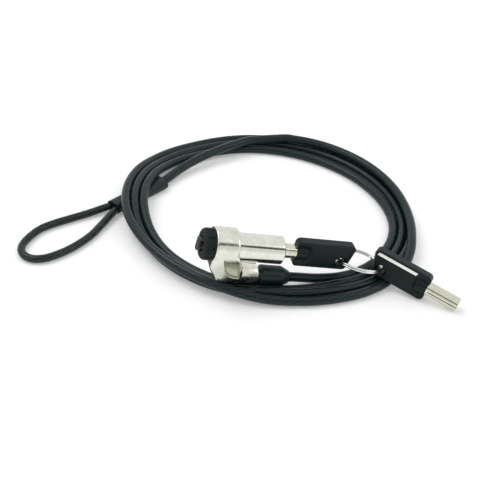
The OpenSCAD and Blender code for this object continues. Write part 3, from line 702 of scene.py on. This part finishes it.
def nickel(name, grain_mm, depth_mm, low, high, dark, light):
    material, tree, shader, where = new_finish(name, Metallic=1.0)
    spots = use_group(tree, grain, Position=where.outputs["Object"], Size_mm=grain_mm,
                      Depth_mm=depth_mm)
    rubbed = use_group(tree, handling, Position=where.outputs["Object"], Patch_mm=7.0,
                       Low=low, High=high)
    connect(tree, shader, two_tone(tree, rubbed.outputs["Mask"], dark, light), rubbed, spots)
    return material


cast_nickel = nickel("cast nickel", 0.9, 0.003, 0.16, 0.26,
                     (0.66, 0.67, 0.58), (0.78, 0.79, 0.70))
turned_nickel = nickel("turned nickel", 0.8, 0.0004, 0.10, 0.18,
                       (0.70, 0.70, 0.63), (0.80, 0.80, 0.73))
key_nickel = nickel("key nickel", 0.8, 0.0008, 0.12, 0.20,
                    (0.62, 0.62, 0.50), (0.72, 0.72, 0.61))
milled_nickel = nickel("milled nickel", 0.8, 0.0012, 0.12, 0.20,
                       (0.66, 0.65, 0.56), (0.78, 0.77, 0.68))
bright_wire = nickel("bright wire", 0.5, 0.002, 0.12, 0.24,
                     (0.68, 0.68, 0.66), (0.80, 0.80, 0.78))
print("nickel finishes:", cast_nickel.name, "and", turned_nickel.name)

# %% [markdown]
# ### Inside the pockets
# The polishing wheel doesn't reach the pockets, so their plating lies on the raw, speckled skin
# of the casting. That skin's colour is also darker on average, which is painted shade that grows
# deeper into the pocket. The depth that was stored on the casting's points blends the two skins.

# %% Raw skin and painted shade in the pockets
tree = cast_nickel.node_tree
shader = tree.nodes["Principled BSDF"]
depth_mask = place(tree, "ShaderNodeAttribute", attribute_name="in pocket").outputs["Fac"]
where = tree.nodes.new("ShaderNodeTexCoord")
skin = use_group(tree, grain, Position=where.outputs["Object"], Size_mm=0.4, Depth_mm=0.02)
# The skin's speckled colour is darker on average than the polished one: raw grain with painted shade
# in it.
skin_and_shade_colour = two_tone(tree, skin.outputs["Mask"], (0.50, 0.51, 0.41), (0.80, 0.81, 0.68))
polished = shader.inputs["Base Color"].links[0].from_socket
blend = place(tree, "ShaderNodeMix", {0: depth_mask, 6: polished, 7: skin_and_shade_colour},
              data_type="RGBA")
tree.links.new(blend.outputs[2], shader.inputs["Base Color"])
gloss = shader.inputs["Roughness"].links[0].from_socket
dull = place(tree, "ShaderNodeMix", {0: depth_mask, 2: gloss, 3: 0.5})
tree.links.new(dull.outputs[0], shader.inputs["Roughness"])
print("the casting's shader has", len(tree.nodes), "nodes")

# %% [markdown]
# ### Turned steel, brass and the strip
# Inside the lock are steel and brass parts with turning lines. The T-bar is given a much darker
# steel colour. The strip on a key's head is brushed.

# %% Steel, brass and strip
def lined_metal(name, stretch, depth_mm, low, high, dark, light):
    material, tree, shader, where = new_finish(name, Metallic=1.0)
    fine = use_group(tree, drawn, Position=where.outputs["Object"], Stretch=stretch,
                     Depth_mm=depth_mm)
    rubbed = use_group(tree, handling, Position=where.outputs["Object"], Patch_mm=4.0,
                       Low=low, High=high)
    connect(tree, shader, two_tone(tree, fine.outputs["Mask"], dark, light), rubbed, fine)
    return material


TURNED, BRUSHED = (5000, 300, 300), (300, 300, 5000)  # lines across the length, or up a head
turned_steel = lined_metal("turned steel", TURNED, 0.004, 0.25, 0.4,
                           (0.5, 0.5, 0.5), (0.7, 0.7, 0.69))
dark_steel = lined_metal("dark steel", TURNED, 0.004, 0.28, 0.4,
                         (0.06, 0.06, 0.06), (0.15, 0.15, 0.15))
turned_brass = lined_metal("turned brass", TURNED, 0.004, 0.22, 0.36,
                           (0.55, 0.38, 0.15), (0.78, 0.6, 0.3))
strip_metal = lined_metal("strip metal", BRUSHED, 0.003, 0.3, 0.42,
                          (0.74, 0.73, 0.68), (0.88, 0.87, 0.82))
print("lined metals:", turned_steel.name, turned_brass.name, strip_metal.name)

# %% [markdown]
# ### Rubber and moulded plastic
# All of these are nearly black, and differ in grain and gloss: the bumper is matt rubber, the
# strain relief and sleeve are satin, and the key heads have a fine mould texture. A little dust
# in the rubber's grain lifts its colour, as it does on the real one.

# %% Black mouldings
def moulding(name, grain_mm, depth_mm, low, high, dark, light, **constants):
    material, tree, shader, where = new_finish(name, **constants)
    spots = use_group(tree, grain, Position=where.outputs["Object"], Size_mm=grain_mm,
                      Depth_mm=depth_mm)
    rubbed = use_group(tree, handling, Position=where.outputs["Object"], Patch_mm=9.0,
                       Low=low, High=high)
    connect(tree, shader, two_tone(tree, spots.outputs["Mask"], dark, light), rubbed, spots)
    return material


bumper_rubber = moulding("bumper rubber", 0.35, 0.02, 0.5, 0.7,
                         (0.003, 0.006, 0.006), (0.011, 0.018, 0.017),
                         Specular_IOR_Level=0.2)
relief_plastic = moulding("relief plastic", 0.5, 0.010, 0.30, 0.44,
                          (0.002, 0.008, 0.009), (0.006, 0.018, 0.020),
                          Specular_IOR_Level=0.3)
key_plastic = moulding("key plastic", 0.3, 0.012, 0.34, 0.46,
                       (0.001, 0.004, 0.005), (0.004, 0.011, 0.013),
                       Specular_IOR_Level=0.22)
print("mouldings:", bumper_rubber.name, relief_plastic.name, key_plastic.name)

# %% [markdown]
# ### The jackets
# The cable's jacket is smooth and dark, with a thin gloss over the faint ridges of the rope. The
# loop's jacket has small bright specks that follow the lay: painted highlights, set into its
# colour as glints. Few of them show in the cable's.

# %% Cable jackets
def jacket(name, depth_mm, dark, light, low, high, painted_glint_level):
    material, tree, shader, where = new_finish(
        name, Specular_IOR_Level=0.25, Coat_Weight=0.08, Coat_Roughness=0.12)
    strands = use_group(tree, rope_lay, Along=where.outputs["UV"], Depth_mm=depth_mm)
    rubbed = use_group(tree, handling, Position=where.outputs["Object"], Patch_mm=14.0,
                       Low=low, High=high)
    # Painted highlights: slanted noise along the lay mixes bright grey specks into the base colour.
    slant = place(tree, "ShaderNodeVectorMath", {0: where.outputs["UV"], 1: (3.0, 26.0, 1.0)},
                  operation="MULTIPLY")
    glint_noise = place(tree, "ShaderNodeTexNoise",
                  {"Vector": slant.outputs[0], "Scale": 2.0, "Detail": 3.0})
    painted_glints = place(tree, "ShaderNodeMapRange",
                   {"Value": glint_noise.outputs["Fac"], "From Min": 0.58, "From Max": 0.74,
                    "To Min": 0.0, "To Max": painted_glint_level})
    ridges = two_tone(tree, strands.outputs["Mask"], dark, light, 0.1, 0.9)
    mixed = place(tree, "ShaderNodeMix",
                  {0: painted_glints.outputs[0], 6: ridges, 7: (0.35, 0.37, 0.36, 1)}, data_type="RGBA")
    connect(tree, shader, mixed.outputs[2], rubbed, strands)
    return material


cable_jacket = jacket("cable jacket", 0.02, (0.002, 0.008, 0.009), (0.006, 0.017, 0.018),
                      0.26, 0.36, 0.04)
loop_jacket = jacket("loop jacket", 0.04, (0.003, 0.007, 0.007), (0.013, 0.022, 0.021),
                     0.16, 0.26, 0.22)
print("jackets:", cable_jacket.name, loop_jacket.name)

# %% [markdown]
# ## Dressing the CAD parts
# The rigid parts keep their CAD shape. Each gets the finish that its real material has. The CAD
# nodes that another piece stands for get theirs too, though they are hidden.

# %% Finishes of the parts
FINISHES = {
    cast_nickel: ["head_casting"],
    turned_nickel: ["barrel_sleeve", "barrel_end_ring"],
    key_nickel: ["key1_stem", "key2_stem"],
    milled_nickel: ["cable_ferrule"],
    dark_steel: ["tbar_spindle"],
    turned_steel: ["front_plate", "guide_pins", "barrel_set_pin", "spindle_clip", "drive_post",
                   "pin_springs", "swivel_stud", "swivel_clip", "loop_crimp"],
    turned_brass: ["pin_block", "driver_pins", "plug", "key_pins"],
    strip_metal: ["key1_strip", "key2_strip"],
    bumper_rubber: ["rubber_bumper"],
    relief_plastic: ["strain_relief", "loop_sleeve"],
    key_plastic: ["key1_head", "key2_head"],
    bright_wire: ["key_ring"],
    cable_jacket: ["cable_lead", "cable_coil", "cable_tail"],
    loop_jacket: ["cable_loop"],
}


def wear(piece, finish):
    piece.data.materials.clear()
    piece.data.materials.append(finish)


for finish, names in FINISHES.items():
    for name in names:
        wear(nodes[name], finish)
wear(cable, cable_jacket)
wear(loop, loop_jacket)
wear(ring, bright_wire)
wear(casting, cast_nickel)
wear(ferrule, milled_nickel)
print("dressed", sum(len(names) for names in FINISHES.values()), "parts")

# %% [markdown]
# ## The table and the light
# The table is a pale sheet that glows a little for the camera and in reflections, so that it
# shows as white and still keeps the shadow. Two big soft lamps stand over it, one from the upper
# left and a weaker one from the right, and a pale sky fills the shadows. Low in front the sky has
# dark bands, which the metal reflects as the dark lines along its sides.

# %% Table
bpy.ops.mesh.primitive_plane_add(size=3, location=(0, 0, -0.0001))
table = bpy.context.object
table.name = "table"
GLOW = 0.22
paper, tree, shader, where = new_finish("paper", Roughness=0.9, Specular_IOR_Level=0.1)
fibres = use_group(tree, grain, Position=where.outputs["Object"], Size_mm=3.0, Depth_mm=0.01)
tree.links.new(two_tone(tree, fibres.outputs["Mask"], (0.78, 0.78, 0.78), (0.81, 0.81, 0.81)),
               shader.inputs["Base Color"])
ray = tree.nodes.new("ShaderNodeLightPath").outputs
seen = place(tree, "ShaderNodeMath", {0: ray["Is Camera Ray"], 1: ray["Is Glossy Ray"]},
             operation="MAXIMUM")
shown = place(tree, "ShaderNodeMath", {0: seen.outputs[0], 1: ray["Is Transmission Ray"]},
              operation="MAXIMUM")
glow = place(tree, "ShaderNodeMath", {0: shown.outputs[0], 1: GLOW}, operation="MULTIPLY")
shader.inputs["Emission Color"].default_value = (1, 1, 1, 1)
tree.links.new(glow.outputs[0], shader.inputs["Emission Strength"])
wear(table, paper)
print("table is", tuple(round(d, 2) for d in table.dimensions), "m")


# %% Lamps
LIT = Vector((0, 0.05, 0))


def soft_lamp(name, place_at, size, power):
    """A white rectangle of light that is aimed at the coil."""
    data = bpy.data.lights.new(name, "AREA")
    data.shape = "RECTANGLE"
    data.size, data.size_y = size
    data.energy = power
    lamp = bpy.data.objects.new(name, data)
    lamp.location = place_at
    lamp.rotation_euler = (LIT - Vector(place_at)).to_track_quat("-Z", "Y").to_euler()
    scene.collection.objects.link(lamp)


soft_lamp("key lamp", (-0.5, 0.35, 0.95), (0.7, 0.5), 3.2)
soft_lamp("fill lamp", (0.75, -0.35, 0.6), (0.5, 0.5), 1.0)

# %% Sky
world = bpy.data.worlds.new("studio")
scene.world = world
world.use_nodes = True
sky = world.node_tree
background = sky.nodes["Background"]
direction = sky.nodes.new("ShaderNodeTexCoord")
axes = place(sky, "ShaderNodeSeparateXYZ", {0: direction.outputs["Generated"]})
in_front = place(sky, "ShaderNodeMapRange",
                 {"Value": axes.outputs["Y"], "From Min": -0.35, "From Max": -0.7,
                  "To Min": 0.0, "To Max": 1.0}, interpolation_type="SMOOTHSTEP")
BANDS = [
    # how steeply up a direction points (1 is straight up), level of grey
    (0.20, 0.93), (0.24, 0.5), (0.28, 0.93), (0.41, 0.93), (0.46, 0.16), (0.55, 0.04),
    (0.635, 0.04), (0.665, 0.93),
]
bands = sky.nodes.new("ShaderNodeValToRGB")
for i, (height, level) in enumerate(BANDS):
    stop = bands.color_ramp.elements[i] if i < 2 else bands.color_ramp.elements.new(height)
    stop.position, stop.color = height, (level, level, level, 1)
sky.links.new(axes.outputs["Z"], bands.inputs[0])
tent = place(sky, "ShaderNodeMix",
             {0: in_front.outputs[0], 6: (0.93, 0.94, 0.94, 1), 7: bands.outputs[0]},
             data_type="RGBA")
sky.links.new(tent.outputs[2], background.inputs["Color"])
background.inputs["Strength"].default_value = 1.0
print("sky has", len(BANDS), "stops of grey in front")
